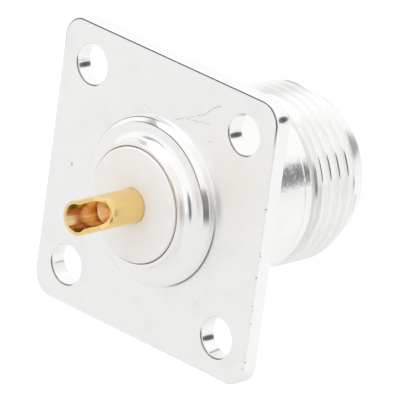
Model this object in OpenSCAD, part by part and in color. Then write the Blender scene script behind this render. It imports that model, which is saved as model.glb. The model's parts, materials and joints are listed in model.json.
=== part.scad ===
// Square-flange coaxial panel jack with a threaded barrel and a solder cup.
// The connector's axis runs along Y. The origin is on that axis, in the flange's rear face,
// which seats on the panel. The mating end points to +Y, the solder cup to -Y, and Z is up.

/* [Flange] */
// Width and height of the square flange
flange_w = 25.4; // [24.4:0.1:30]
// Thickness of the flange
flange_t = 1.6; // [1:0.1:3]
// Radius of the flange's corners
flange_corner_r = 2; // [1:0.1:3]
// Break along the flange's outer edges
flange_break = 0.2; // [0.05:0.05:0.4]
// Distance between neighbouring screw holes
hole_spacing = 18.26; // [17.5:0.01:19]
// Diameter of the screw holes
hole_d = 3.5; // [2.6:0.1:4]
// Break at both ends of each screw hole
hole_break = 0.12; // [0.05:0.01:0.25]

/* [Rear boss] */
// Diameter of the boss that passes through the panel
boss_d = 14.6; // [14:0.1:17]
// Height of the boss above the flange's rear face
boss_h = 1.1; // [0.8:0.1:1.5]
// Chamfer at the boss's shoulder
boss_chamfer = 0.4; // [0.1:0.1:0.6]
// Wall of the thin rim round the insulator
rim_wall = 0.4; // [0.3:0.05:0.6]
// Height of the rim above the boss
rim_h = 1.25; // [1:0.05:2]
// Radius of the hollow fillet at the foot of the rim
rim_fillet_r = 0.9; // [0.2:0.1:1]
// Radius on the rim's edges
rim_edge_r = 0.1; // [0.05:0.05:0.14]

/* [Barrel] */
// Length of the barrel in front of the flange
barrel_len = 17.1; // [16:0.1:20]
// Diameter of the plain collar next to the flange
collar_d = 15.38; // [15:0.02:15.8]
// Width of the relief groove between the collar and the thread
relief_w = 1.1; // [0.9:0.1:1.6]
// Width of the relief's flat floor, to which the collar tapers down
relief_floor_w = 0.1; // [0.05:0.05:0.5]
// Depth of the thread, and of the relief groove behind it, below the thread's crest
thread_depth = 0.6; // [0.4:0.05:0.65]
// Outer diameter of the thread, 5/8-24 UNEF
thread_d = 15.7; // [15.6:0.02:15.86]
// Number of threads in one inch
threads_per_inch = 24; // [20:1:28]
// Width of the thread's crest
crest_w = 0.15; // [0.05:0.01:0.2]
// Length of the thread
thread_len = 4; // [3:0.1:6]
// Diameter of the nose where it meets the thread
nose_root_d = 14.7; // [14.2:0.1:15]
// Diameter of the nose at the front face
nose_tip_d = 13.2; // [12.5:0.1:14]
// Length of the tapered nose
nose_len = 1.9; // [1.5:0.1:3]
// Radius on the nose's front edge
nose_edge_r = 0.2; // [0.1:0.05:0.4]

/* [Mating bore] */
// Diameter of the mouth at the front face
mouth_d = 8.75; // [8.5:0.05:9.2]
// Depth of the mouth behind the front face
mouth_depth = 2; // [1.5:0.1:3]
// Chamfer at the mouth's edge
mouth_chamfer = 0.35; // [0.1:0.05:0.6]
// Diameter of the bore that takes the plug's outer contact
socket_d = 8.1; // [7.8:0.05:8.4]
// Depth of the mating shoulder behind the front face
shoulder_depth = 9.1; // [8.5:0.1:9.6]
// Inner diameter of the outer conductor
line_d = 7; // [6.5:0.1:7.4]

/* [Insulator] */
// Diameter of the insulator's seat in the shell
seat_d = 10; // [9.6:0.1:10.4]
// Depth of the insulator's seat in front of the flange's rear face
seat_depth = 6; // [4:0.1:7]
// How far the insulator stands out of the rim
insulator_proud = 0.25; // [0:0.05:0.5]
// Radius on the insulator's rear edge
insulator_edge_r = 0.15; // [0.05:0.05:0.3]
// Radial gap between pressed or seated round pieces
press_gap = 0.02; // [0.01:0.01:0.03]

/* [Centre contact] */
// Diameter of the contact's front part
contact_d = 3.04; // [2.9:0.02:3.2]
// Diameter of the contact's tail
tail_d = 3; // [2.8:0.05:3.1]
// Diameter of the shoulder that seats in the insulator
contact_shoulder_d = 4; // [3.6:0.1:4.4]
// Length of that shoulder
contact_shoulder_len = 1.2; // [0.8:0.1:2]
// Distance from the mating shoulder to the contact's tip
contact_reach = 5; // [4.75:0.05:5.25]
// Radius on the contact's tip
contact_tip_r = 0.25; // [0.1:0.05:0.3]
// Diameter of the hole that takes the plug's pin
pin_hole_d = 1.66; // [1.6:0.02:1.7]
// Depth of that hole
pin_hole_depth = 5.4; // [5:0.1:7]
// Width of the slots that let the socket spring
slot_w = 0.28; // [0.2:0.02:0.3]
// Length of those slots
slot_len = 4.5; // [3:0.1:4.8]
// Number of socket fingers
fingers = 4; // [2:2:4]

/* [Solder cup] */
// Length of the tail behind the flange's rear face
tail_len = 9.2; // [8:0.1:12]
// Diameter of the cup's bore
cup_d = 2.4; // [2.2:0.05:2.5]
// Depth of the cup's bore
cup_depth = 3.7; // [3.2:0.1:4.2]
// Height of the cup's cut face above the contact's axis
cup_cut_h = 0.62; // [0.3:0.02:0.9]
// Length of the flat part of the cut
cup_cut_len = 1.7; // [1:0.1:2]
// Radius of the cutter where the cut runs out
cup_cutter_r = 1.6; // [1:0.1:2.4]
// Angle of the cup's opening above the horizontal
cup_turn = 29; // [0:1:90]
// Break on the cup's outer edge
cup_break = 0.08; // [0.04:0.02:0.14]

/* [Hidden] */
$fn = 96;

overlap = 0.5; // how far pieces of one solid run into each other before they are joined
drill_point = 118; // included angle of the drill that makes the blind holes
inch = 25.4;
thread_angle = 60; // included angle between the thread's flanks

hole_half = hole_spacing / 2;
flange_half = flange_w / 2;

boss_r = boss_d / 2;
rim_r = seat_d / 2 + rim_wall;
rim_top = boss_h + rim_h;

front_z = flange_t + barrel_len;
nose_z = front_z - nose_len;
lead_in = (thread_d - nose_root_d) / 2; // 45 degree chamfer from the thread down to the nose
thread_end_z = nose_z - lead_in;
thread_start_z = thread_end_z - thread_len;
collar_end_z = thread_start_z - relief_w;
relief_d = thread_d - 2 * thread_depth;
thread_pitch = inch / threads_per_inch;
thread_grooves = ceil((thread_len - crest_w) / thread_pitch);

mating_z = front_z - shoulder_depth;
contact_tip_z = mating_z + contact_reach;
shoulder_z = seat_depth - contact_shoulder_len;

// Turns a shape drawn about Z so that its axis lies along Y.
module along_y() {
    rotate([-90, 0, 0]) children();
}

// Blind drilled hole with its mouth at z = 0, going towards +Z.
module drilled_hole(d, depth) {
    translate([0, 0, -overlap]) cylinder(d = d, h = depth + overlap);
    translate([0, 0, depth]) cylinder(d1 = d, d2 = 0, h = d / 2 / tan(drill_point / 2));
}

// Rectangle in (radius, height) from the axis out to r, with its outer top corner rounded.
module rounded_step(r, z0, z1, edge_r) {
    translate([0, z0]) square([r - edge_r, z1 - z0]);
    translate([0, z0]) square([r, z1 - z0 - edge_r]);
    translate([r - edge_r, z1 - edge_r]) circle(r = edge_r);
}

// Hollow quarter-round fillet between a face at height z and a wall at radius r.
module hollow_fillet(r, z, fillet_r) {
    difference() {
        translate([r - fillet_r, z - fillet_r]) square(2 * fillet_r);
        translate([r + fillet_r, z + fillet_r]) circle(r = fillet_r);
    }
}

// Outline of the flange: a square with round corners.
module flange_outline() {
    straight = flange_w - 2 * flange_corner_r;
    square([flange_w, straight], center = true);
    square([straight, flange_w], center = true);
    for (x = [-1, 1], y = [-1, 1])
        translate([x, y] * (flange_half - flange_corner_r)) circle(r = flange_corner_r);
}

// Material that the edge break takes off round one face of the flange, the face at z = 0.
module flange_edge_cut() {
    side = flange_break * sqrt(2);
    corner = flange_half - flange_corner_r;
    for (a = [0 : 90 : 270]) rotate([0, 0, a]) {
        translate([0, flange_half, 0]) rotate([45, 0, 0]) cube([2 * corner, side, side], center = true);
        translate([corner, corner, 0]) rotate_extrude(angle = 90)
            translate([flange_corner_r, 0]) rotate(45) square(side, center = true);
    }
}

// One screw hole with a break at both of its ends.
module screw_hole() {
    translate([0, 0, -overlap]) cylinder(d = hole_d, h = flange_t + 2 * overlap);
    for (end = [0, 1]) translate([0, 0, end * flange_t]) mirror([0, 0, end])
        cylinder(d1 = hole_d + 2 * hole_break, d2 = hole_d, h = hole_break);
}

module flange() {
    difference() {
        linear_extrude(flange_t) flange_outline();
        flange_edge_cut();
        translate([0, 0, flange_t]) flange_edge_cut();
        for (x = [-1, 1], y = [-1, 1]) translate([x * hole_half, y * hole_half, 0]) screw_hole();
    }
}

// Boss and rim, drawn upwards from the flange's rear face.
module boss() {
    rotate_extrude() {
        polygon([
            [0, -overlap],
            [boss_r, -overlap],
            [boss_r, boss_h - boss_chamfer],
            [boss_r - boss_chamfer, boss_h],
            [0, boss_h],
        ]);
        rounded_step(rim_r, 0, rim_top, rim_edge_r);
        hollow_fillet(rim_r, boss_h, rim_fillet_r);
    }
}

// Section of one groove of the thread in (radius, height), with its middle at height 0.
module thread_groove() {
    root = relief_d / 2;
    top = (thread_pitch - crest_w) / 2;
    bottom = top - thread_depth * tan(thread_angle / 2);
    outside = top + overlap * tan(thread_angle / 2);
    polygon([
        [root, -bottom],
        [thread_d / 2 + overlap, -outside],
        [thread_d / 2 + overlap, outside],
        [root, bottom],
    ]);
}

// Collar, relief groove, thread and tapered nose. The thread's grooves are rings at its pitch.
module barrel() {
    rotate_extrude() difference() {
        union() {
            polygon([
                [0, flange_t - overlap],
                [collar_d / 2, flange_t - overlap],
                [collar_d / 2, collar_end_z],
                [relief_d / 2, thread_start_z - relief_floor_w],
                [relief_d / 2, thread_start_z],
                [thread_d / 2, thread_start_z],
                [thread_d / 2, thread_end_z],
                [nose_root_d / 2, nose_z],
                [nose_tip_d / 2, front_z - nose_edge_r],
                [nose_tip_d / 2 - nose_edge_r, front_z],
                [0, front_z],
            ]);
            translate([nose_tip_d / 2 - nose_edge_r, front_z - nose_edge_r]) circle(r = nose_edge_r);
        }
        for (i = [0 : thread_grooves - 1])
            translate([0, thread_start_z + crest_w / 2 + (i + 0.5) * thread_pitch]) thread_groove();
    }
}

// Everything that is hollow inside the shell.
module shell_bore() {
    translate([0, 0, -rim_top - overlap]) cylinder(d = seat_d, h = rim_top + overlap + seat_depth);
    translate([0, 0, seat_depth - overlap]) cylinder(d = line_d, h = front_z - seat_depth);
    translate([0, 0, mating_z]) cylinder(d = socket_d, h = shoulder_depth + overlap);
    translate([0, 0, front_z - mouth_depth]) cylinder(d = mouth_d, h = mouth_depth + overlap);
    translate([0, 0, front_z - mouth_chamfer])
        cylinder(d1 = mouth_d, d2 = mouth_d + 2 * mouth_chamfer, h = mouth_chamfer);
}

module shell() {
    color([0.86, 0.86, 0.87]) along_y() difference() {
        union() {
            flange();
            mirror([0, 0, 1]) boss();
            barrel();
        }
        shell_bore();
    }
}

module insulator() {
    rear = rim_top + insulator_proud;
    color([0.95, 0.94, 0.92]) along_y() difference() {
        translate([0, 0, seat_depth]) mirror([0, 0, 1]) rotate_extrude()
            rounded_step(seat_d / 2 - press_gap, 0, seat_depth + rear, insulator_edge_r);
        translate([0, 0, -rear - overlap])
            cylinder(d = tail_d + 2 * press_gap, h = rear + seat_depth + 2 * overlap);
        translate([0, 0, shoulder_z])
            cylinder(d = contact_shoulder_d + 2 * press_gap, h = contact_shoulder_len + overlap);
    }
}

// Material that the milled opening takes off the cup, from the tip at z = 0 towards +Z.
module cup_cut() {
    translate([cup_cut_h, -tail_d, -overlap]) cube([tail_d, 2 * tail_d, cup_cut_len + overlap]);
    translate([cup_cut_h + cup_cutter_r, 0, cup_cut_len]) rotate([90, 0, 0])
        cylinder(r = cup_cutter_r, h = 2 * tail_d, center = true);
}

module centre_contact() {
    color([0.86, 0.68, 0.32]) along_y() difference() {
        union() {
            translate([0, 0, shoulder_z]) mirror([0, 0, 1]) rotate_extrude() polygon([
                [0, 0],
                [tail_d / 2, 0],
                [tail_d / 2, shoulder_z + tail_len - cup_break],
                [tail_d / 2 - cup_break, shoulder_z + tail_len],
                [0, shoulder_z + tail_len],
            ]);
            translate([0, 0, shoulder_z]) cylinder(d = contact_shoulder_d, h = contact_shoulder_len);
            rotate_extrude() rounded_step(contact_d / 2, shoulder_z, contact_tip_z, contact_tip_r);
        }
        translate([0, 0, contact_tip_z]) mirror([0, 0, 1]) drilled_hole(pin_hole_d, pin_hole_depth);
        for (i = [0 : fingers / 2 - 1]) rotate([0, 0, i * 360 / fingers])
            translate([-contact_d, -slot_w / 2, contact_tip_z - slot_len])
                cube([2 * contact_d, slot_w, slot_len + overlap]);
        translate([0, 0, -tail_len]) {
            drilled_hole(cup_d, cup_depth);
            rotate([0, 0, -cup_turn]) cup_cut();
        }
    }
}

shell();
insulator();
centre_contact();
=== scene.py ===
import json
import math

import bmesh
import bpy
from mathutils import Matrix, Quaternion, Vector


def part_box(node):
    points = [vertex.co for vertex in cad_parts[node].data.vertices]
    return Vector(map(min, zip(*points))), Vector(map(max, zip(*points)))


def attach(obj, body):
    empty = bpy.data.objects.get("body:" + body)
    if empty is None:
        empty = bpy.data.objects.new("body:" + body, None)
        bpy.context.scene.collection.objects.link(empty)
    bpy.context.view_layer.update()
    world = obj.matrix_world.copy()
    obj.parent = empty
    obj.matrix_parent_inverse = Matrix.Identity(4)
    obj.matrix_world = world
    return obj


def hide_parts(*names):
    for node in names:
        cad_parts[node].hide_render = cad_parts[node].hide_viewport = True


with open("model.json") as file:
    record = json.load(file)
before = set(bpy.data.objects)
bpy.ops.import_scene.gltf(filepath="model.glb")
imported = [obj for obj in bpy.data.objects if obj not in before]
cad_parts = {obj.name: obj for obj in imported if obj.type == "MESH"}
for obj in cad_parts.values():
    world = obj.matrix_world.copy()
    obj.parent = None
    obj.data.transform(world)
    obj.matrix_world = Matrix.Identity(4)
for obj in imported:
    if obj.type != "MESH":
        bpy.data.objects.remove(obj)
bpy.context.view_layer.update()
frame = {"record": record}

mm = 0.001
shellLow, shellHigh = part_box("shell")
beadLow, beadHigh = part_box("insulator")
contactLow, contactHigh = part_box("centre_contact")
mounts = {mount["name"]: mount for mount in frame["record"]["mounts"]}

meshing = {
    "mergeReach": 0.0004 * mm,
    "planeReach": 0.008 * mm,  # how near a point lies to a plane to count as on it
    "levelReach": 0.01 * mm,
    "roundSegments": 6,
    "sharpAngle": 32,
}


# small helpers for turned parts: the connector's axis is Y

def drawProfile(bm, corners, close=False):
    # corners are (radius, place on the axis, rounding); a rounded corner is bevelled on the wire
    verts = [bm.verts.new((corner[0], corner[1], 0)) for corner in corners]
    ends = verts[1:] + verts[:1] if close else verts[1:]
    for pair in zip(verts, ends):
        bm.edges.new(pair)
    for vert, corner in zip(verts, corners):
        if len(corner) > 2:
            bmesh.ops.bevel(bm, geom=[vert], offset=corner[2], offset_type="OFFSET", profile=0.5,
                            segments=meshing["roundSegments"], affect="VERTICES", material=-1)


def turn(corners, steps, close=False):
    bm = bmesh.new()
    drawProfile(bm, corners, close)
    bmesh.ops.spin(bm, geom=bm.verts[:] + bm.edges[:], cent=(0, 0, 0), axis=(0, 1, 0),
                   dvec=(0, 0, 0), angle=math.tau, steps=steps, use_merge=True)
    return bm


def addInto(bm, other, place=(0, 0, 0)):
    # puts a finished bmesh into another one
    bmesh.ops.translate(other, verts=other.verts, vec=place)
    holder = bpy.data.meshes.new("holder")
    other.to_mesh(holder)
    other.free()
    bm.from_mesh(holder)
    bpy.data.meshes.remove(holder)


def boundaryAt(bm, y):
    # the open edges that lie in the plane at y
    reach = meshing["planeReach"]
    return [e for e in bm.edges if e.is_boundary and all(abs(v.co.y - y) < reach for v in e.verts)]


def finishMesh(name, bm):
    bmesh.ops.remove_doubles(bm, verts=bm.verts, dist=meshing["mergeReach"])
    bmesh.ops.recalc_face_normals(bm, faces=bm.faces)
    openEdges = sum(1 for e in bm.edges if not e.is_manifold)
    for face in bm.faces:
        face.smooth = True
    for edge in bm.edges:
        edge.smooth = edge.calc_face_angle(0) < math.radians(meshing["sharpAngle"])
    mesh = bpy.data.meshes.new(name)
    bm.to_mesh(mesh)
    print(name, "faces", len(bm.faces), "open edges", openEdges)
    bm.free()
    obj = bpy.data.objects.new(name, mesh)
    bpy.context.scene.collection.objects.link(obj)
    return obj


def applyModifiers(obj):
    # keeps the mesh as its modifiers leave it
    graph = bpy.context.evaluated_depsgraph_get()
    mesh = bpy.data.meshes.new_from_object(obj.evaluated_get(graph), depsgraph=graph)
    obj.modifiers.clear()
    obj.data = mesh


def weighNormals(obj):
    # large faces keep flat shading up to their rounded edges
    weighted = obj.modifiers.new("weighted", "WEIGHTED_NORMAL")
    weighted.mode = "FACE_AREA"
    weighted.keep_sharp = True


# shell: flange, boss and rim, stepped bore, nose, thread, relief and collar in one turned body

shellShape = {
    "cornerRadius": 2.0 * mm,
    "cornerSegments": 14,
    "edgeBreak": 0.2 * mm,
    "edgeSegments": 4,
    "flangeThickness": 1.6 * mm,
    "holeBreak": 0.14 * mm,
    "holeReach": 0.3 * mm,  # the strip of face that a hole brings with it
    "holeSteps": 96,
    "faceReach": 0.5 * mm,  # the same round the boss and the collar
    "bossRadius": 7.3 * mm,
    "bossHeight": 1.1 * mm,
    "bossChamfer": 0.4 * mm,
    "bossEdge": 0.04 * mm,
    "footFillet": 0.1 * mm,
    "rimRadius": 5.4 * mm,
    "rimFillet": 0.9 * mm,
    "rimOuterEdge": 0.1 * mm,
    "rimInnerEdge": 0.08 * mm,
    "seatRadius": 5.0 * mm,
    "seatDepth": 6.0 * mm,
    "lineRadius": 3.5 * mm,
    "lineEdge": 0.05 * mm,
    "matingPlane": 9.6 * mm,
    "socketRadius": 4.05 * mm,
    "socketEdge": 0.08 * mm,
    "mouthChamfer": 0.35 * mm,
    "mouthEdge": 0.04 * mm,
    "noseEdge": 0.2 * mm,
    "noseTip": 6.6 * mm,
    "noseRoot": 7.35 * mm,
    "noseLength": 1.9 * mm,
    "collarRadius": 7.69 * mm,
    "collarEdge": 0.05 * mm,
    "reliefRadius": 7.25 * mm,
    "reliefWidth": 1.1 * mm,
    "reliefFloor": 0.1 * mm,
    "reliefEdge": 0.03 * mm,
    "threadLength": 4.0 * mm,
    "threadPitch": 25.4 / 24 * mm,
    "threadRise": 0.03 * mm,  # over which the first ridge comes out of the relief
    "threadRunOut": 0.5 * mm,  # how far the last ridge runs on into the nose
    "flankAngle": 30,
    "flankCuts": 3,
    "joinGap": 0.02 * mm,  # left between the thread and its neighbours, then bridged
    "crestFlat": 0.15 * mm,
    "crestPlace": 13.43 * mm,  # a crest's middle where the barrel faces +X and a little up
    "crestAngle": 26,
    "scribedLine": 10.45 * mm,
    "scribedDepth": 0.04 * mm,
    "scribedHalfWidth": 0.05 * mm,
    "scribedEdge": 0.02 * mm,
    "steps": 192,
}


def noseSlope(shape):
    return (shape["noseRoot"] - shape["noseTip"]) / shape["noseLength"]


def rearProfile(shape, threadCut):
    # from the flange's rear face over the boss, through the bore and back over the nose
    boss, bossTop = shape["bossRadius"], -shape["bossHeight"]
    seat, line, socket = shape["seatRadius"], shape["lineRadius"], shape["socketRadius"]
    front = shellHigh.y
    mouth = mounts["mating_mouth"]
    mouthRadius = mouth["dims"]["r_mm"] * mm
    mouthFloor = mouth["pos_m"][1] - mouth["dims"]["length_mm"] * mm / 2
    onNose = threadCut - front + shape["noseLength"]
    return [
        (boss + shape["faceReach"], 0),
        (boss, 0, shape["footFillet"]),
        (boss, bossTop + shape["bossChamfer"], shape["bossEdge"]),
        (boss - shape["bossChamfer"], bossTop, shape["bossEdge"]),
        (shape["rimRadius"], bossTop, shape["rimFillet"]),
        (shape["rimRadius"], shellLow.y, shape["rimOuterEdge"]),
        (seat, shellLow.y, shape["rimInnerEdge"]),
        (seat, shape["seatDepth"]),
        (line, shape["seatDepth"], shape["lineEdge"]),
        (line, shape["matingPlane"], shape["lineEdge"]),
        (socket, shape["matingPlane"]),
        (socket, mouthFloor, shape["socketEdge"]),
        (mouthRadius, mouthFloor),
        (mouthRadius, front - shape["mouthChamfer"], shape["mouthEdge"]),
        (mouthRadius + shape["mouthChamfer"], front, shape["mouthEdge"]),
        (shape["noseTip"], front, shape["noseEdge"]),
        (shape["noseRoot"] - noseSlope(shape) * onNose, threadCut),
    ]


def barrelProfile(shape, threadStart):
    # from the thread's foot over the tapered relief and the collar to the flange's front face
    line, half = shape["scribedLine"], shape["scribedHalfWidth"]
    collar, floor, t = shape["collarRadius"], shape["reliefFloor"], shape["flangeThickness"]
    return [
        (shape["reliefRadius"], threadStart - floor / 2),
        (shape["reliefRadius"], threadStart - floor, shape["reliefEdge"]),
        (collar, threadStart - shape["reliefWidth"], shape["collarEdge"]),
        (collar, line + half, shape["scribedEdge"]),
        (collar - shape["scribedDepth"], line),
        (collar, line - half, shape["scribedEdge"]),
        (collar, t, shape["footFillet"]),
        (collar + shape["faceReach"], t),
    ]


def threadBand(shape, low, high, threadStart, threadEnd):
    # a right-hand ridge swept along its helix, then cut to the blank's own outline
    crest = mounts["coupling_thread"]["dims"]["r_mm"] * mm
    root = shape["reliefRadius"]
    pitch = shape["threadPitch"]
    flank = (crest - root) * math.tan(math.radians(shape["flankAngle"]))
    halfCrest = shape["crestFlat"] / 2
    turns = math.ceil((high - low) / pitch) + 2
    first = shape["crestPlace"] + pitch * shape["crestAngle"] / 360
    first -= pitch * (math.ceil((first - low) / pitch) + 1)
    bm = bmesh.new()
    verts = [bm.verts.new((r, first + y, 0)) for r, y in (
        (root, -pitch / 2), (root, -halfCrest - flank), (crest, -halfCrest),
        (crest, halfCrest), (root, halfCrest + flank), (root, pitch / 2))]
    edges = [bm.edges.new(pair) for pair in zip(verts, verts[1:])]
    bmesh.ops.subdivide_edges(bm, edges=edges, cuts=shape["flankCuts"])
    bmesh.ops.spin(bm, geom=bm.verts[:] + bm.edges[:], cent=(0, 0, 0), axis=(0, 1, 0),
                   dvec=(0, pitch / shape["steps"], 0), angle=math.tau * turns,
                   steps=shape["steps"] * turns, use_merge=False)
    bmesh.ops.remove_doubles(bm, verts=bm.verts, dist=meshing["mergeReach"])
    noseRoot = shellHigh.y - shape["noseLength"]
    slope = noseSlope(shape)
    step = shape["threadRise"]

    def blank(y):
        # the blank's radius at y, before the thread is cut
        if y < threadStart:
            return root
        rising = root + (y - threadStart) * (crest - root) / step
        falling = crest - max(0, y - threadEnd)
        if y > noseRoot:
            falling = shape["noseRoot"] - slope * (y - noseRoot)
        return min(rising, falling)

    for y, outer, inner in ((low, False, True), (high, True, False), (threadStart, False, False),
                            (threadStart + step, False, False), (threadEnd, False, False),
                            (noseRoot, False, False)):
        bmesh.ops.bisect_plane(bm, geom=bm.verts[:] + bm.edges[:] + bm.faces[:], dist=0.0001 * mm,
                               plane_co=(0, y, 0), plane_no=(0, 1, 0), clear_outer=outer,
                               clear_inner=inner)
    for vert in bm.verts:
        r = math.hypot(vert.co.x, vert.co.z)
        scale = min(1, blank(vert.co.y) / r)
        vert.co.x *= scale
        vert.co.z *= scale
    return bm


def makeShell(shape):
    bm = bmesh.new()
    t = shape["flangeThickness"]
    half = shellHigh.x
    # flange plate: a square, its corners rounded, given its thickness and its broken edges
    bmesh.ops.create_grid(bm, x_segments=1, y_segments=1, size=half,
                          matrix=Matrix.Rotation(math.radians(90), 4, "X"))
    bmesh.ops.bevel(bm, geom=bm.verts[:], offset=shape["cornerRadius"], offset_type="OFFSET",
                    segments=shape["cornerSegments"], profile=0.5, affect="VERTICES", material=-1)
    plate = bmesh.ops.extrude_face_region(bm, geom=bm.faces[:])
    moved = [g for g in plate["geom"] if isinstance(g, bmesh.types.BMVert)]
    bmesh.ops.translate(bm, verts=moved, vec=(0, t, 0))
    rims = [e for e in bm.edges
            if abs(e.verts[0].co.y - e.verts[1].co.y) < meshing["levelReach"]]
    bmesh.ops.bevel(bm, geom=rims, offset=shape["edgeBreak"], offset_type="OFFSET", profile=0.5,
                    segments=shape["edgeSegments"], affect="EDGES", material=-1)
    wide = sorted(bm.faces, key=lambda f: f.calc_area())[-2:]
    bmesh.ops.delete(bm, geom=wide, context="FACES_ONLY")
    # screw holes
    holes = mounts["panel_holes"]["dims"]
    holeRadius = holes["hole_r_mm"] * mm
    holeEdge = holeRadius + shape["holeReach"]
    offset = holes["spacing_x_mm"] * mm / 2
    for x in (-offset, offset):
        for z in (-offset, offset):
            hole = turn([(holeEdge, 0), (holeRadius, 0, shape["holeBreak"]),
                         (holeRadius, t, shape["holeBreak"]), (holeEdge, t)], shape["holeSteps"])
            addInto(bm, hole, (x, 0, z))
    # turned body and thread
    thread = mounts["coupling_thread"]
    threadStart = thread["pos_m"][1] - thread["dims"]["length_mm"] * mm / 2
    threadEnd = threadStart + shape["threadLength"]
    threadCut = shellHigh.y - shape["noseLength"] + shape["threadRunOut"]
    gap = shape["joinGap"]
    addInto(bm, turn(rearProfile(shape, threadCut), shape["steps"]))
    addInto(bm, turn(barrelProfile(shape, threadStart), shape["steps"]))
    low = threadStart - shape["reliefFloor"] / 2 + gap
    high = threadCut - gap
    addInto(bm, threadBand(shape, low, high, threadStart, threadEnd))
    for a, b in ((low, low - gap), (high, high + gap)):
        bmesh.ops.bridge_loops(bm, edges=boundaryAt(bm, a) + boundaryAt(bm, b))
    # the flange's two faces, between its edge, the holes and the turned body
    for y in (0, t):
        bmesh.ops.triangle_fill(bm, use_beauty=True, use_dissolve=False, edges=boundaryAt(bm, y))
    shell = finishMesh("shellBody", bm)
    weighNormals(shell)
    applyModifiers(shell)
    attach(shell, "root")
    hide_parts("shell")
    print("shell done")
    return shell


# bead: the white insulator round the contact

beadShape = {
    "edgeRadius": 0.15 * mm,
    "boreEdge": 0.04 * mm,
    "boreRadius": 1.505 * mm,
    "counterbore": 2.02 * mm,
    "counterboreDepth": 1.2 * mm,
    "steps": 160,
}


def makeBead(shape):
    radius = beadHigh.x
    floor = beadHigh.y - shape["counterboreDepth"]
    bm = turn([
        (shape["boreRadius"], beadLow.y, shape["boreEdge"]),
        (radius, beadLow.y, shape["edgeRadius"]),
        (radius, beadHigh.y),
        (shape["counterbore"], beadHigh.y),
        (shape["counterbore"], floor),
        (shape["boreRadius"], floor),
    ], shape["steps"], close=True)
    bead = finishMesh("insulatorBead", bm)
    weighNormals(bead)
    applyModifiers(bead)
    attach(bead, "root")
    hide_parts("insulator")
    print("bead done")
    return bead


# contact: solder cup behind, shoulder in the bead, slotted socket in front

contactShape = {
    "tailRadius": 1.5 * mm,
    "shoulderRadius": 2.0 * mm,
    "shoulderEnd": 6.0 * mm,
    "shoulderLength": 1.2 * mm,
    "frontRadius": 1.52 * mm,
    "tipRadius": 0.25 * mm,
    "pinEdge": 0.06 * mm,
    "slotWidth": 0.28 * mm,
    "slotLength": 4.5 * mm,
    "cupRadius": 1.2 * mm,
    "cupDepth": 3.7 * mm,
    "cupInnerEdge": 0.05 * mm,
    "cupOuterEdge": 0.08 * mm,
    "cutHeight": 0.62 * mm,
    "cutLength": 1.7 * mm,
    "cutterRadius": 1.6 * mm,
    "cutterReach": 1.0 * mm,  # how far the cutter starts behind the tail
    "cutterSegments": 28,
    "cutTurn": 29,
    "drillPoint": 118,
    "edgeBreak": 0.022 * mm,
    "edgeSegments": 3,
    "edgeAngle": 40,
    "steps": 96,
}


def drillTip(radius, shape):
    return radius / math.tan(math.radians(shape["drillPoint"] / 2))


def cutAway(obj, bm):
    # takes the shape in bm off the object
    cutter = finishMesh("cutter", bm)
    cut = obj.modifiers.new("cut", "BOOLEAN")
    cut.operation = "DIFFERENCE"
    cut.solver = "EXACT"
    cut.object = cutter
    applyModifiers(obj)
    bpy.data.objects.remove(cutter)


def cupCutter(shape):
    # a milling cutter's path: a flat run at cutHeight that ends in the cutter's own radius
    reach = shape["cutterReach"]
    length = shape["cutLength"] + shape["cutterRadius"] + reach
    height = 2 * shape["cutterRadius"]
    bm = bmesh.new()
    bmesh.ops.create_grid(bm, x_segments=1, y_segments=1, size=0.5)
    bmesh.ops.scale(bm, verts=bm.verts, vec=(height, length, 1))
    bmesh.ops.translate(bm, verts=bm.verts, vec=(shape["cutHeight"] + height / 2,
                                                 contactLow.y - reach + length / 2, 0))
    inner = [v for v in bm.verts if v.co.y > contactLow.y]
    # a hair less than the radius, so that the two rounded corners never meet
    bmesh.ops.bevel(bm, geom=inner, offset=shape["cutterRadius"] * 0.9999, offset_type="OFFSET",
                    segments=shape["cutterSegments"], profile=0.5, affect="VERTICES", material=-1)
    width = 3 * shape["tailRadius"]
    side = bmesh.ops.extrude_face_region(bm, geom=bm.faces[:])
    moved = [g for g in side["geom"] if isinstance(g, bmesh.types.BMVert)]
    bmesh.ops.translate(bm, verts=moved, vec=(0, 0, width))
    bmesh.ops.translate(bm, verts=bm.verts, vec=(0, 0, -width / 2))
    bmesh.ops.rotate(bm, verts=bm.verts, cent=(0, 0, 0),
                     matrix=Matrix.Rotation(math.radians(-shape["cutTurn"]), 3, "Y"))
    return bm


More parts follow.
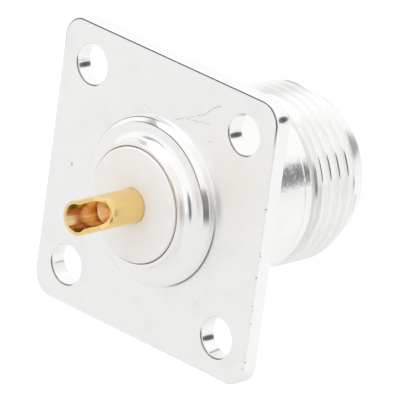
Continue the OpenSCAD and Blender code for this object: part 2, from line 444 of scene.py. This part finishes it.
def makeContact(shape):
    rear, front = contactLow.y, contactHigh.y
    pin = mounts["pin_socket"]
    pinRadius = pin["dims"]["r_mm"] * mm
    pinFloor = front - pin["dims"]["length_mm"] * mm
    cupFloor = rear + shape["cupDepth"]
    shoulderStart = shape["shoulderEnd"] - shape["shoulderLength"]
    bm = turn([
        (0, cupFloor + drillTip(shape["cupRadius"], shape)),
        (shape["cupRadius"], cupFloor),
        (shape["cupRadius"], rear, shape["cupInnerEdge"]),
        (shape["tailRadius"], rear, shape["cupOuterEdge"]),
        (shape["tailRadius"], shoulderStart),
        (shape["shoulderRadius"], shoulderStart),
        (shape["shoulderRadius"], shape["shoulderEnd"]),
        (shape["frontRadius"], shape["shoulderEnd"]),
        (shape["frontRadius"], front, shape["tipRadius"]),
        (pinRadius, front, shape["pinEdge"]),
        (pinRadius, pinFloor),
        (0, pinFloor - drillTip(pinRadius, shape)),
    ], shape["steps"])
    bmesh.ops.rotate(bm, verts=bm.verts, cent=(0, 0, 0),
                     matrix=Matrix.Rotation(math.radians(-shape["cutTurn"]), 3, "Y"))
    contact = finishMesh("solderCupContact", bm)
    cutAway(contact, cupCutter(shape))
    for turnAngle in (0, 90):
        bm = bmesh.new()
        bmesh.ops.create_cube(bm, size=1)
        bmesh.ops.scale(bm, verts=bm.verts, vec=(4 * shape["frontRadius"], 2 * shape["slotLength"],
                                                 shape["slotWidth"]))
        bmesh.ops.rotate(bm, verts=bm.verts, cent=(0, 0, 0),
                         matrix=Matrix.Rotation(math.radians(turnAngle), 3, "Y"))
        bmesh.ops.translate(bm, verts=bm.verts, vec=(0, front, 0))
        cutAway(contact, bm)
    bevel = contact.modifiers.new("edges", "BEVEL")
    bevel.width = shape["edgeBreak"]
    bevel.use_clamp_overlap = False
    bevel.segments = shape["edgeSegments"]
    bevel.limit_method = "ANGLE"
    bevel.angle_limit = math.radians(shape["edgeAngle"])
    weighNormals(contact)
    applyModifiers(contact)
    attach(contact, "root")
    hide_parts("centre_contact")
    print("contact done")
    return contact


# material helpers: a number goes on the socket, an output is linked to it

def feed(tree, value, socket):
    if isinstance(value, bpy.types.NodeSocket):
        tree.links.new(value, socket)
    else:
        socket.default_value = value


def calc(tree, operation, *values):
    node = tree.nodes.new("ShaderNodeMath")
    node.operation = operation
    for value, socket in zip(values, node.inputs):
        feed(tree, value, socket)
    return node.outputs[0]


def vectorCalc(tree, operation, first, second=(0, 0, 0), output="Vector"):
    node = tree.nodes.new("ShaderNodeVectorMath")
    node.operation = operation
    feed(tree, first, node.inputs[0])
    feed(tree, second, node.inputs[1])
    return node.outputs[output]


def fade(tree, value, start, end, low=0.0, high=1.0):
    # smooth change from low at start to high at end
    node = tree.nodes.new("ShaderNodeMapRange")
    node.interpolation_type = "SMOOTHSTEP"
    for label, number in (("Value", value), ("From Min", start), ("From Max", end),
                          ("To Min", low), ("To Max", high)):
        feed(tree, number, node.inputs[label])
    return node.outputs["Result"]


def product(tree, *values):
    result = values[0]
    for value in values[1:]:
        result = calc(tree, "MULTIPLY", result, value)
    return result


def strongest(tree, *values):
    result = values[0]
    for value in values[1:]:
        result = calc(tree, "MAXIMUM", result, value)
    return result


def cloud(tree, place, scale, detail=2.0):
    node = tree.nodes.new("ShaderNodeTexNoise")
    feed(tree, place, node.inputs["Vector"])
    node.inputs["Scale"].default_value = scale
    node.inputs["Detail"].default_value = detail
    return node.outputs["Fac"]


def tint(tree, amount, first, second):
    node = tree.nodes.new("ShaderNodeMix")
    node.data_type = "RGBA"
    for value, socket in ((amount, node.inputs[0]), (first, node.inputs[6]), (second, node.inputs[7])):
        feed(tree, value, socket)
    return node.outputs[2]


def joined(tree, x, y, z):
    node = tree.nodes.new("ShaderNodeCombineXYZ")
    for value, socket in zip((x, y, z), node.inputs):
        feed(tree, value, socket)
    return node.outputs[0]


def newGroup(name, inputs, outputs):
    tree = bpy.data.node_groups.new(name, "ShaderNodeTree")
    for label, kind, value in inputs:
        socket = tree.interface.new_socket(label, in_out="INPUT", socket_type=kind)
        socket.default_value = value
    for label, kind in outputs:
        tree.interface.new_socket(label, in_out="OUTPUT", socket_type=kind)
    return tree, tree.nodes.new("NodeGroupInput").outputs, tree.nodes.new("NodeGroupOutput").inputs


def useGroup(tree, group, **values):
    node = tree.nodes.new("ShaderNodeGroup")
    node.node_tree = group
    for label, value in values.items():
        feed(tree, value, node.inputs[label])
    return node.outputs


# effects that several finishes share

def turnedPlaceGroup():
    # object coordinates in mm, told as radius and place on the axis, with a vector for lathe lines
    tree, given, result = newGroup("turnedPlace", [("Place", "NodeSocketVector", (0, 0, 0))], [
        ("Radius", "NodeSocketFloat"), ("Along", "NodeSocketFloat"), ("Side", "NodeSocketFloat"),
        ("Up", "NodeSocketFloat"), ("Round", "NodeSocketVector")])
    split = tree.nodes.new("ShaderNodeSeparateXYZ")
    tree.links.new(vectorCalc(tree, "MULTIPLY", given["Place"], [1 / mm] * 3), split.inputs[0])
    x, y, z = split.outputs
    radius = vectorCalc(tree, "LENGTH", joined(tree, x, 0, z), output="Value")
    away = calc(tree, "MAXIMUM", radius, 0.01)
    feed(tree, radius, result["Radius"])
    feed(tree, y, result["Along"])
    feed(tree, x, result["Side"])
    feed(tree, z, result["Up"])
    feed(tree, joined(tree, calc(tree, "DIVIDE", x, away), calc(tree, "ADD", radius, y),
                      calc(tree, "DIVIDE", z, away)), result["Round"])
    return tree


def turningLinesGroup():
    # fine uneven lines that run round the axis
    tree, given, result = newGroup("turningLines", [
        ("Round", "NodeSocketVector", (0, 0, 0)), ("Fineness", "NodeSocketFloat", 8.0),
        ("Arc", "NodeSocketFloat", 0.8)], [("Lines", "NodeSocketFloat")])
    place = vectorCalc(tree, "MULTIPLY", given["Round"],
                       joined(tree, given["Arc"], given["Fineness"], given["Arc"]))
    feed(tree, cloud(tree, place, 1, 3.0), result["Lines"])
    return tree


def strokeGroup():
    # one scratch on a flat face: a thin wavering line between two places
    tree, given, result = newGroup("stroke", [
        ("Place", "NodeSocketVector", (0, 0, 0)), ("Start", "NodeSocketVector", (0, 0, 0)),
        ("End", "NodeSocketVector", (1, 0, 0)), ("Width", "NodeSocketFloat", 0.06)],
        [("Mask", "NodeSocketFloat")])
    waver = calc(tree, "MULTIPLY_ADD", cloud(tree, given["Place"], 1.1), 0.6, -0.3)
    place = vectorCalc(tree, "ADD", given["Place"], joined(tree, waver, waver, 0))
    run = vectorCalc(tree, "SUBTRACT", given["End"], given["Start"])
    out = vectorCalc(tree, "SUBTRACT", place, given["Start"])
    share = calc(tree, "DIVIDE", vectorCalc(tree, "DOT_PRODUCT", out, run, "Value"),
                 vectorCalc(tree, "DOT_PRODUCT", run, run, "Value"))
    share = calc(tree, "MINIMUM", calc(tree, "MAXIMUM", share, 0), 1)
    off = vectorCalc(tree, "SUBTRACT", out, vectorCalc(tree, "MULTIPLY", run, joined(
        tree, share, share, share)))
    distance = vectorCalc(tree, "LENGTH", off, output="Value")
    broken = fade(tree, cloud(tree, given["Place"], 3.0), 0.32, 0.55)
    feed(tree, product(tree, fade(tree, distance, given["Width"], 0), broken), result["Mask"])
    return tree


def lineGroup():
    # 1 on a thin line where Value passes Middle, fading out over Width
    tree, given, result = newGroup("edgeLine", [
        ("Value", "NodeSocketFloat", 0), ("Middle", "NodeSocketFloat", 0),
        ("Width", "NodeSocketFloat", 0.06)], [("Mask", "NodeSocketFloat")])
    off = calc(tree, "ABSOLUTE", calc(tree, "SUBTRACT", given["Value"], given["Middle"]))
    feed(tree, fade(tree, off, given["Width"], calc(tree, "MULTIPLY", given["Width"], 0.3)),
         result["Mask"])
    return tree


def startMaterial(name):
    material = bpy.data.materials.new(name)
    material.use_nodes = True
    tree = material.node_tree
    coordinates = tree.nodes.new("ShaderNodeTexCoord").outputs["Object"]
    return material, tree, tree.nodes["Principled BSDF"], useGroup(tree, turnedPlace, Place=coordinates)


def giveRelief(tree, surface, height, distance):
    bump = tree.nodes.new("ShaderNodeBump")
    bump.inputs["Strength"].default_value = 1
    bump.inputs["Distance"].default_value = distance
    feed(tree, height, bump.inputs["Height"])
    feed(tree, bump.outputs["Normal"], surface.inputs["Normal"])


# silver: satin flange faces, turned bright body, brushed collar, thin painted shade lines at the edges

silverFinish = {
    "colour": (0.975, 0.97, 0.96, 1),
    "tarnish": (0.935, 0.93, 0.915, 1),
    # dark: the colour of the painted edge shade and reflection lines, and of the real scratches and
    # nicks
    "dark": (0.2, 0.195, 0.19, 1),
    # brown of the painted reflection of the gold contact on the rim's inner edge
    "paintedRimReflection": (0.42, 0.27, 0.16, 1),
    "satin": 0.4,
    "turned": 0.15,
    "brushed": 0.16,
    "bossFace": 0.27,
    "turnedLines": (7.0, 0.7),  # lathe lines: fineness along the profile, and round the axis
    "brushLines": (9.0, 20.0),
    "grainScale": 9.0,
    "mottleScale": 0.35,
    "relief": 0.008 * mm,
    "lineDepth": 0.25,
    "brushDepth": 2.6,
    "grainDepth": 0.3,
    "scratchDepth": 0.6,
    "edgeLineWidth": 0.09,
    "scratches": (  # start, end in mm on the rear face, width
        ((1.3, 7.8), (4.5, 9.3), 0.05),
        ((4.5, 9.3), (5.3, 10.15), 0.06),
        ((5.3, 10.15), (6.1, 10.6), 0.07),
        ((1.9, 8.1), (5.2, 8.7), 0.04),
        ((-2.5, 7.8), (-1.95, 7.6), 0.05),
        ((5.2, 7.1), (6.0, 7.5), 0.04),
        ((-10.0, -0.1), (-9.9, -0.3), 0.08),
        ((6.4, -6.9), (6.6, -7.0), 0.08),
        ((9.1, 6.5), (9.3, 6.3), 0.05),
    ),
}


def flangeShadeLinesAndNicks(tree, finish, shape, turned, away):
    # painted shade lines: dark lines for burr shadows and dark edge reflections along the flange's rear
    # edge and at the screw holes' lower rims, and real nicks at the right
    x, z, y = turned["Side"], turned["Up"], turned["Along"]
    half = shellHigh.x / mm
    corner = half - shape["cornerRadius"] / mm
    overX = calc(tree, "SUBTRACT", calc(tree, "ABSOLUTE", x), corner)
    overZ = calc(tree, "SUBTRACT", calc(tree, "ABSOLUTE", z), corner)
    outside = vectorCalc(tree, "LENGTH", joined(tree, calc(tree, "MAXIMUM", overX, 0),
                                                calc(tree, "MAXIMUM", overZ, 0), 0), output="Value")
    inside = calc(tree, "MINIMUM", calc(tree, "MAXIMUM", overX, overZ), 0)
    edge = calc(tree, "SUBTRACT", calc(tree, "ADD", outside, inside), half - corner)
    rim = useGroup(tree, edgeLine, Value=edge, Middle=-0.1, Width=finish["edgeLineWidth"])["Mask"]
    rear = fade(tree, y, 0.16, 0.08)
    upper = fade(tree, z, 8.5, 11.0)
    nicks = product(tree, fade(tree, cloud(tree, joined(tree, 0, y, z), 2.3, 3.0), 0.62, 0.68),
                    fade(tree, x, 12.2, 12.45), fade(tree, y, 0.3, 0.1), 0.8)
    # painted burr shadow and dark reflection along the flange's upper rear edge only
    paintedRimShade = product(tree, rim, rear, upper)
    offset = mounts["panel_holes"]["dims"]["spacing_x_mm"] / 2
    radius = mounts["panel_holes"]["dims"]["hole_r_mm"]
    localX = calc(tree, "SUBTRACT", x, calc(tree, "MULTIPLY", calc(tree, "SIGN", x), offset))
    localZ = calc(tree, "SUBTRACT", z, calc(tree, "MULTIPLY", calc(tree, "SIGN", z), offset))
    reach = vectorCalc(tree, "LENGTH", joined(tree, localX, localZ, 0), output="Value")
    low = calc(tree, "MULTIPLY_ADD", localX, -0.5, calc(tree, "MULTIPLY", localZ, -0.86))
    # painted shade at the screw holes' lower rims, for burr shadows and dark reflections
    paintedHoleShade = product(tree, useGroup(tree, edgeLine, Value=reach, Middle=radius + 0.08,
                                      Width=0.08)["Mask"], fade(tree, low, 0.5, 1.2), rear)
    return calc(tree, "MULTIPLY", strongest(tree, paintedRimShade, nicks, paintedHoleShade), away)


def bossPaintedReflections(tree, shape, turned):
    # painted dark edge reflections along the boss's edges, each only over a part of its round
    x, z, y, r = turned["Side"], turned["Up"], turned["Along"], turned["Radius"]
    top = -shape["bossHeight"] / mm
    bossRadius = shape["bossRadius"] / mm
    chamfer = shape["bossChamfer"] / mm

    def toward(dx, dz):
        return calc(tree, "DIVIDE", calc(tree, "MULTIPLY_ADD", x, dx, calc(tree, "MULTIPLY", z, dz)),
                    calc(tree, "MAXIMUM", r, 0.01))

    inner = product(tree, useGroup(tree, edgeLine, Value=r, Middle=bossRadius - chamfer,
                                   Width=0.06)["Mask"],
                    fade(tree, y, top + 0.2, top + 0.1), fade(tree, toward(0.42, 0.9), 0.55, 0.9))
    outer = product(tree, useGroup(tree, edgeLine, Value=y, Middle=top + chamfer, Width=0.09)["Mask"],
                    fade(tree, r, bossRadius - 0.2, bossRadius - 0.1),
                    fade(tree, toward(-0.6, 0.8), 0.6, 0.9))
    foot = product(tree, useGroup(tree, edgeLine, Value=y, Middle=-0.06, Width=0.09)["Mask"],
                   fade(tree, r, bossRadius + 0.2, bossRadius + 0.05),
                   fade(tree, toward(0.8, -0.6), 0.55, 0.95))
    behind = fade(tree, y, 0.05, 0.0)
    return calc(tree, "MULTIPLY", strongest(tree, inner, outer, foot), behind)


def silverMaterial(finish, shape):
    material, tree, surface, turned = startMaterial("silverPlate")
    radius, along = turned["Radius"], turned["Along"]
    place = joined(tree, turned["Side"], turned["Up"], along)
    facing = tree.nodes.new("ShaderNodeSeparateXYZ")
    tree.links.new(tree.nodes.new("ShaderNodeNewGeometry").outputs["Normal"], facing.inputs[0])
    flat = fade(tree, calc(tree, "ABSOLUTE", facing.outputs[1]), 0.8, 0.97)
    away = fade(tree, radius, shape["bossRadius"] / mm + 0.02, shape["bossRadius"] / mm + 0.12)
    plate = calc(tree, "MULTIPLY", flat, away)
    collar = product(tree, fade(tree, along, shape["flangeThickness"] / mm, 1.9),
                     fade(tree, along, 11.25, 11.1), fade(tree, radius, 7.0, 7.4))
    lines, brush = [
        useGroup(tree, turningLines, Round=turned["Round"], Fineness=fineness, Arc=arc)["Lines"]
        for fineness, arc in (finish["turnedLines"], finish["brushLines"])]
    grain = cloud(tree, place, finish["grainScale"])
    mottle = cloud(tree, place, finish["mottleScale"], 3.0)
    # colour
    # painted shade lines at the flange's edges, holes and boss share one dark mask with the real nicks
    # and scratches
    scratchesAndPaintedShade = flangeShadeLinesAndNicks(tree, finish, shape, turned, away)
    face = joined(tree, turned["Side"], turned["Up"], 0)
    rear = product(tree, plate, fade(tree, along, 0.3, 0.1))
    for start, end, width in finish["scratches"]:
        mask = useGroup(tree, stroke, Place=face, Start=(*start, 0), End=(*end, 0), Width=width)["Mask"]
        scratchesAndPaintedShade = strongest(tree, scratchesAndPaintedShade, product(tree, mask, rear, finish["scratchDepth"]))
    scratchesAndPaintedShade = strongest(tree, scratchesAndPaintedShade, bossPaintedReflections(tree, shape, turned))
    colour = tint(tree, fade(tree, mottle, 0.45, 0.8), finish["colour"], finish["tarnish"])
    # painted reflection: the rim's inner rear edge is tinted brown for the gold contact it reflects
    rimReflection = product(tree, fade(tree, radius, 5.14, 5.06), fade(tree, along, -2.1, -2.25))
    colour = tint(tree, rimReflection, colour, finish["paintedRimReflection"])
    # the dark colour paints the edge shade and reflections, and darkens the scratches and nicks
    colour = tint(tree, scratchesAndPaintedShade, colour, finish["dark"])
    feed(tree, colour, surface.inputs["Base Color"])
    # gloss
    rough = calc(tree, "MULTIPLY_ADD", lines, 0.1, finish["turned"] - 0.05)
    brushed = calc(tree, "MULTIPLY_ADD", brush, 0.2, finish["brushed"] - 0.1)
    rough = fade(tree, collar, 0, 1, rough, brushed)
    bossFace = product(tree, flat, fade(tree, along, 0.0, -0.2), fade(tree, along, -1.6, -1.3))
    rough = fade(tree, bossFace, 0, 1, rough, finish["bossFace"])
    satin = calc(tree, "MULTIPLY_ADD", mottle, 0.1, finish["satin"] - 0.05)
    rough = fade(tree, plate, 0, 1, rough, satin)
    feed(tree, rough, surface.inputs["Roughness"])
    surface.inputs["Metallic"].default_value = 1
    # relief: grain on the faces, lathe lines elsewhere, coarser strokes on the collar
    height = fade(tree, collar, 0, 1, calc(tree, "MULTIPLY", lines, finish["lineDepth"]),
                  calc(tree, "MULTIPLY", brush, finish["brushDepth"]))
    height = fade(tree, plate, 0, 1, height, calc(tree, "MULTIPLY", grain, finish["grainDepth"]))
    giveRelief(tree, surface, height, finish["relief"])
    return material


# white fluoropolymer: waxy, with faint lathe rings and a slight mottle

beadFinish = {
    "colour": (0.955, 0.945, 0.93, 1),
    "shade": (0.93, 0.915, 0.895, 1),
    "roughness": 0.42,
    "turnedLines": (5.0, 0.5),
    "mottleScale": 0.5,
    "relief": 0.004 * mm,
    "depthOfLight": 0.6 * mm,
    "shareOfLight": 0.15,
}


def beadMaterial(finish):
    material, tree, surface, turned = startMaterial("fluoropolymer")
    place = joined(tree, turned["Side"], turned["Up"], turned["Along"])
    fineness, arc = finish["turnedLines"]
    rings = useGroup(tree, turningLines, Round=turned["Round"], Fineness=fineness, Arc=arc)["Lines"]
    mottle = cloud(tree, place, finish["mottleScale"], 3.0)
    feed(tree, tint(tree, fade(tree, mottle, 0.4, 0.8), finish["colour"], finish["shade"]),
         surface.inputs["Base Color"])
    feed(tree, calc(tree, "MULTIPLY_ADD", rings, 0.12, finish["roughness"] - 0.06),
         surface.inputs["Roughness"])
    surface.inputs["Subsurface Weight"].default_value = finish["shareOfLight"]
    surface.inputs["Subsurface Radius"].default_value = (0.3, 0.28, 0.25)
    surface.inputs["Subsurface Scale"].default_value = finish["depthOfLight"]
    giveRelief(tree, surface, rings, finish["relief"])
    return material


# gold: bright turned outside, darker-streaked drawn-looking inside of the cup, with painted shade on
# the cup's drilled floor

goldFinish = {
    "colour": (0.94, 0.69, 0.285, 1),
    "worn": (0.96, 0.75, 0.37, 1),
    "inside": (1.0, 0.84, 0.5, 1),
    "insideDark": (0.93, 0.6, 0.3, 1),
    # colour of the painted shade at the bottom of the cup
    "drilled": (0.82, 0.52, 0.26, 1),
    "roughness": 0.16,
    "insideRoughness": 0.2,
    "milledRoughness": 0.55,
    "turnedLines": (9.0, 0.8),
    "mottleScale": 0.8,
    "strokeScale": (3.6, 3.6, 0.45),  # short across the axis, long along it
    "relief": 0.012 * mm,
    "lineDepth": 0.2,
    "strokeDepth": 3.0,
}


def goldMaterial(finish, shape):
    material, tree, surface, turned = startMaterial("goldPlate")
    radius, along = turned["Radius"], turned["Along"]
    place = joined(tree, turned["Side"], turned["Up"], along)
    fineness, arc = finish["turnedLines"]
    lines = useGroup(tree, turningLines, Round=turned["Round"], Fineness=fineness, Arc=arc)["Lines"]
    inner = (shape["cupRadius"] + 0.04 * mm) / mm
    cup = product(tree, fade(tree, radius, inner, inner - 0.04), fade(tree, along, -4.2, -4.6))
    strokes = cloud(tree, vectorCalc(tree, "MULTIPLY", place, finish["strokeScale"]), 1.0, 3.0)
    mottle = cloud(tree, place, finish["mottleScale"], 3.0)
    outside = tint(tree, fade(tree, mottle, 0.4, 0.8), finish["colour"], finish["worn"])
    inside = tint(tree, fade(tree, strokes, 0.42, 0.62), finish["insideDark"], finish["inside"])
    # painted shade: the cup's drilled floor is darkened to brown for the shade deep in the bore
    bottom = (contactLow.y + shape["cupDepth"]) / mm
    inside = tint(tree, fade(tree, along, bottom - 0.05, bottom + 0.05), inside, finish["drilled"])
    feed(tree, tint(tree, cup, outside, inside), surface.inputs["Base Color"])
    rough = calc(tree, "MULTIPLY_ADD", lines, 0.1, finish["roughness"] - 0.05)
    # the milled lips lie in the plane of the cut
    cutTurn = math.radians(shape["cutTurn"])
    overCut = calc(tree, "MULTIPLY_ADD", turned["Side"], math.cos(cutTurn),
                   calc(tree, "MULTIPLY", turned["Up"], math.sin(cutTurn)))
    cut = shape["cutHeight"] / mm
    milled = product(tree, useGroup(tree, edgeLine, Value=overCut, Middle=cut, Width=0.05)["Mask"],
                     fade(tree, along, -7.2, -7.5))
    rough = fade(tree, milled, 0, 1, rough, finish["milledRoughness"])
    feed(tree, fade(tree, cup, 0, 1, rough, finish["insideRoughness"]), surface.inputs["Roughness"])
    surface.inputs["Metallic"].default_value = 1
    height = fade(tree, cup, 0, 1, calc(tree, "MULTIPLY", lines, finish["lineDepth"]),
                  calc(tree, "MULTIPLY", strokes, finish["strokeDepth"]))
    giveRelief(tree, surface, height, finish["relief"])
    return material


turnedPlace = turnedPlaceGroup()
turningLines = turningLinesGroup()
stroke = strokeGroup()
edgeLine = lineGroup()
print("shared effects done")


# camera, floor and light

cameraSetup = {
    "azimuth": 42.44,
    "elevation": 20.36,
    "roll": 7.79,
    "distance": 0.6011,
    "lens": 642.7,
    "sensor": 36,
    "nearest": 0.05,
    "furthest": 20,
    "aim": (2.72 * mm, 2.73 * mm, 0.53 * mm),
}


def makeCamera(setup):
    camera = bpy.data.objects.new("camera", bpy.data.cameras.new("camera"))
    bpy.context.scene.collection.objects.link(camera)
    azimuth, elevation = math.radians(setup["azimuth"]), math.radians(setup["elevation"])
    back = Vector((math.sin(azimuth) * math.cos(elevation),
                   -math.cos(azimuth) * math.cos(elevation), math.sin(elevation)))
    camera.location = Vector(setup["aim"]) + back * setup["distance"]
    camera.rotation_mode = "QUATERNION"
    camera.rotation_quaternion = (-back).to_track_quat("-Z", "Y") @ Quaternion(
        (0, 0, 1), math.radians(setup["roll"]))
    camera.data.lens = setup["lens"]
    camera.data.sensor_width = setup["sensor"]
    camera.data.clip_start = setup["nearest"]
    camera.data.clip_end = setup["furthest"]
    bpy.context.scene.camera = camera


def seenWhite(tree):
    # 1 for rays that see the white studio as it is: straight or through glass
    path = tree.nodes.new("ShaderNodeLightPath").outputs
    return path, calc(tree, "MAXIMUM", path["Is Camera Ray"], path["Is Transmission Ray"])


studio = {
    "skyStrength": 1.0,
    "floorDrop": 18 * mm,
    "floorGrey": 0.76,
    "floorLift": 0.4,  # for rays that see the floor itself
    "floorRadius": 2.5,
    "floorSides": 64,
    "dark": (0.71, -0.70),  # where the floor looks dark in the metal
    "darkDepth": 0.8,
    "darkEdge": (0.955, 0.985),  # cosines where it starts and where it is full
    "darkStart": (0.09, 0.2),  # distances from the middle where it starts and where it is full
    "mirrorLift": (0.02, 0.13),  # in the metal, the floor is paler behind the barrel than in front
    "mirrorPlace": (-0.02, 0.05),
    "darkPatches": (  # direction, cosine where it starts, cosine where it is full, depth
        ((0.68, 0.69, 0.24), 0.97, 0.991, 0.92),
        ((0.05, 1.0, 0.0), 0.96, 0.99, 0.62),
        ((0.71, -0.70, 0.03), 0.925, 0.98, 0.75),
        ((-0.58, -0.45, 0.68), 0.93, 0.985, 0.55),
    ),
    "lampPlace": (-0.25, -0.1, 0.6),
    "lampSize": 0.5,
    "lampPower": 0.9,
}


def makeWorld(setup):
    # a white studio; the metal and the lighting also meet its soft dark patches
    world = bpy.data.worlds.new("studio")
    bpy.context.scene.world = world
    world.use_nodes = True
    tree = world.node_tree
    sky = tree.nodes["Background"]
    white = tree.nodes.new("ShaderNodeBackground")
    for background in (sky, white):
        background.inputs["Color"].default_value = (1, 1, 1, 1)
    white.inputs["Strength"].default_value = 1
    direction = tree.nodes.new("ShaderNodeTexCoord").outputs["Generated"]
    level = setup["skyStrength"]
    for patch, start, full, depth in setup["darkPatches"]:
        toward = vectorCalc(tree, "DOT_PRODUCT", direction, Vector(patch).normalized(), "Value")
        level = calc(tree, "MULTIPLY", level, fade(tree, toward, start, full, 1, 1 - depth))
    feed(tree, level, sky.inputs["Strength"])
    mix = tree.nodes.new("ShaderNodeMixShader")
    feed(tree, seenWhite(tree)[1], mix.inputs["Fac"])
    feed(tree, sky.outputs["Background"], mix.inputs[1])
    feed(tree, white.outputs["Background"], mix.inputs[2])
    feed(tree, mix.outputs["Shader"], tree.nodes["World Output"].inputs["Surface"])


def floorMaterial(setup):
    # pale paper that keeps the shadow, lifted to white where it is seen, clear from below
    material = bpy.data.materials.new("studioFloor")
    material.use_nodes = True
    tree = material.node_tree
    tree.nodes.remove(tree.nodes["Principled BSDF"])
    paper = tree.nodes.new("ShaderNodeBsdfDiffuse")
    glow = tree.nodes.new("ShaderNodeEmission")
    glow.inputs["Color"].default_value = (1, 1, 1, 1)
    path, straight = seenWhite(tree)
    mirrored = path["Is Glossy Ray"]
    split = tree.nodes.new("ShaderNodeSeparateXYZ")
    feed(tree, tree.nodes.new("ShaderNodeTexCoord").outputs["Object"], split.inputs[0])
    level = joined(tree, split.outputs[0], split.outputs[1], 0)
    toward = vectorCalc(tree, "DOT_PRODUCT", vectorCalc(tree, "NORMALIZE", level),
                        (*setup["dark"], 0), "Value")
    distance = vectorCalc(tree, "LENGTH", level, output="Value")
    dark = product(tree, fade(tree, toward, *setup["darkEdge"]), mirrored, setup["darkDepth"],
                   fade(tree, distance, *setup["darkStart"]))
    feed(tree, tint(tree, dark, (*[setup["floorGrey"]] * 3, 1), (0, 0, 0, 1)), paper.inputs["Color"])
    behind = fade(tree, split.outputs[1], *setup["mirrorPlace"], *setup["mirrorLift"])
    lift = calc(tree, "MULTIPLY", straight, setup["floorLift"])
    feed(tree, calc(tree, "MULTIPLY_ADD", mirrored, behind, lift), glow.inputs["Strength"])
    both = tree.nodes.new("ShaderNodeAddShader")
    feed(tree, paper.outputs[0], both.inputs[0])
    feed(tree, glow.outputs[0], both.inputs[1])
    oneSided = tree.nodes.new("ShaderNodeMixShader")
    feed(tree, tree.nodes.new("ShaderNodeNewGeometry").outputs["Backfacing"], oneSided.inputs["Fac"])
    feed(tree, both.outputs[0], oneSided.inputs[1])
    feed(tree, tree.nodes.new("ShaderNodeBsdfTransparent").outputs[0], oneSided.inputs[2])
    feed(tree, oneSided.outputs[0], tree.nodes["Material Output"].inputs["Surface"])
    return material


def makeFloor(setup):
    bm = bmesh.new()
    bmesh.ops.create_circle(bm, cap_ends=True, segments=setup["floorSides"],
                            radius=setup["floorRadius"])
    bmesh.ops.translate(bm, verts=bm.verts, vec=(0, 0, shellLow.z - setup["floorDrop"]))
    mesh = bpy.data.meshes.new("studioFloor")
    bm.to_mesh(mesh)
    bm.free()
    floor = bpy.data.objects.new("studioFloor", mesh)
    bpy.context.scene.collection.objects.link(floor)
    floor.data.materials.append(floorMaterial(setup))


def softbox(name, place, size, power):
    lamp = bpy.data.lights.new(name, "AREA")
    lamp.shape = "SQUARE"
    lamp.size = size
    lamp.energy = power
    obj = bpy.data.objects.new(name, lamp)
    bpy.context.scene.collection.objects.link(obj)
    obj.location = place
    obj.rotation_mode = "QUATERNION"
    obj.rotation_quaternion = (-Vector(place)).to_track_quat("-Z", "Y")


makeCamera(cameraSetup)
makeWorld(studio)
makeFloor(studio)
softbox("topSoftbox", studio["lampPlace"], studio["lampSize"], studio["lampPower"])
bpy.context.scene.view_settings.view_transform = "Standard"
print("studio done")

shell = makeShell(shellShape)
bead = makeBead(beadShape)
contact = makeContact(contactShape)
shell.data.materials.append(silverMaterial(silverFinish, shellShape))
bead.data.materials.append(beadMaterial(beadFinish))
contact.data.materials.append(goldMaterial(goldFinish, contactShape))
print("materials done")
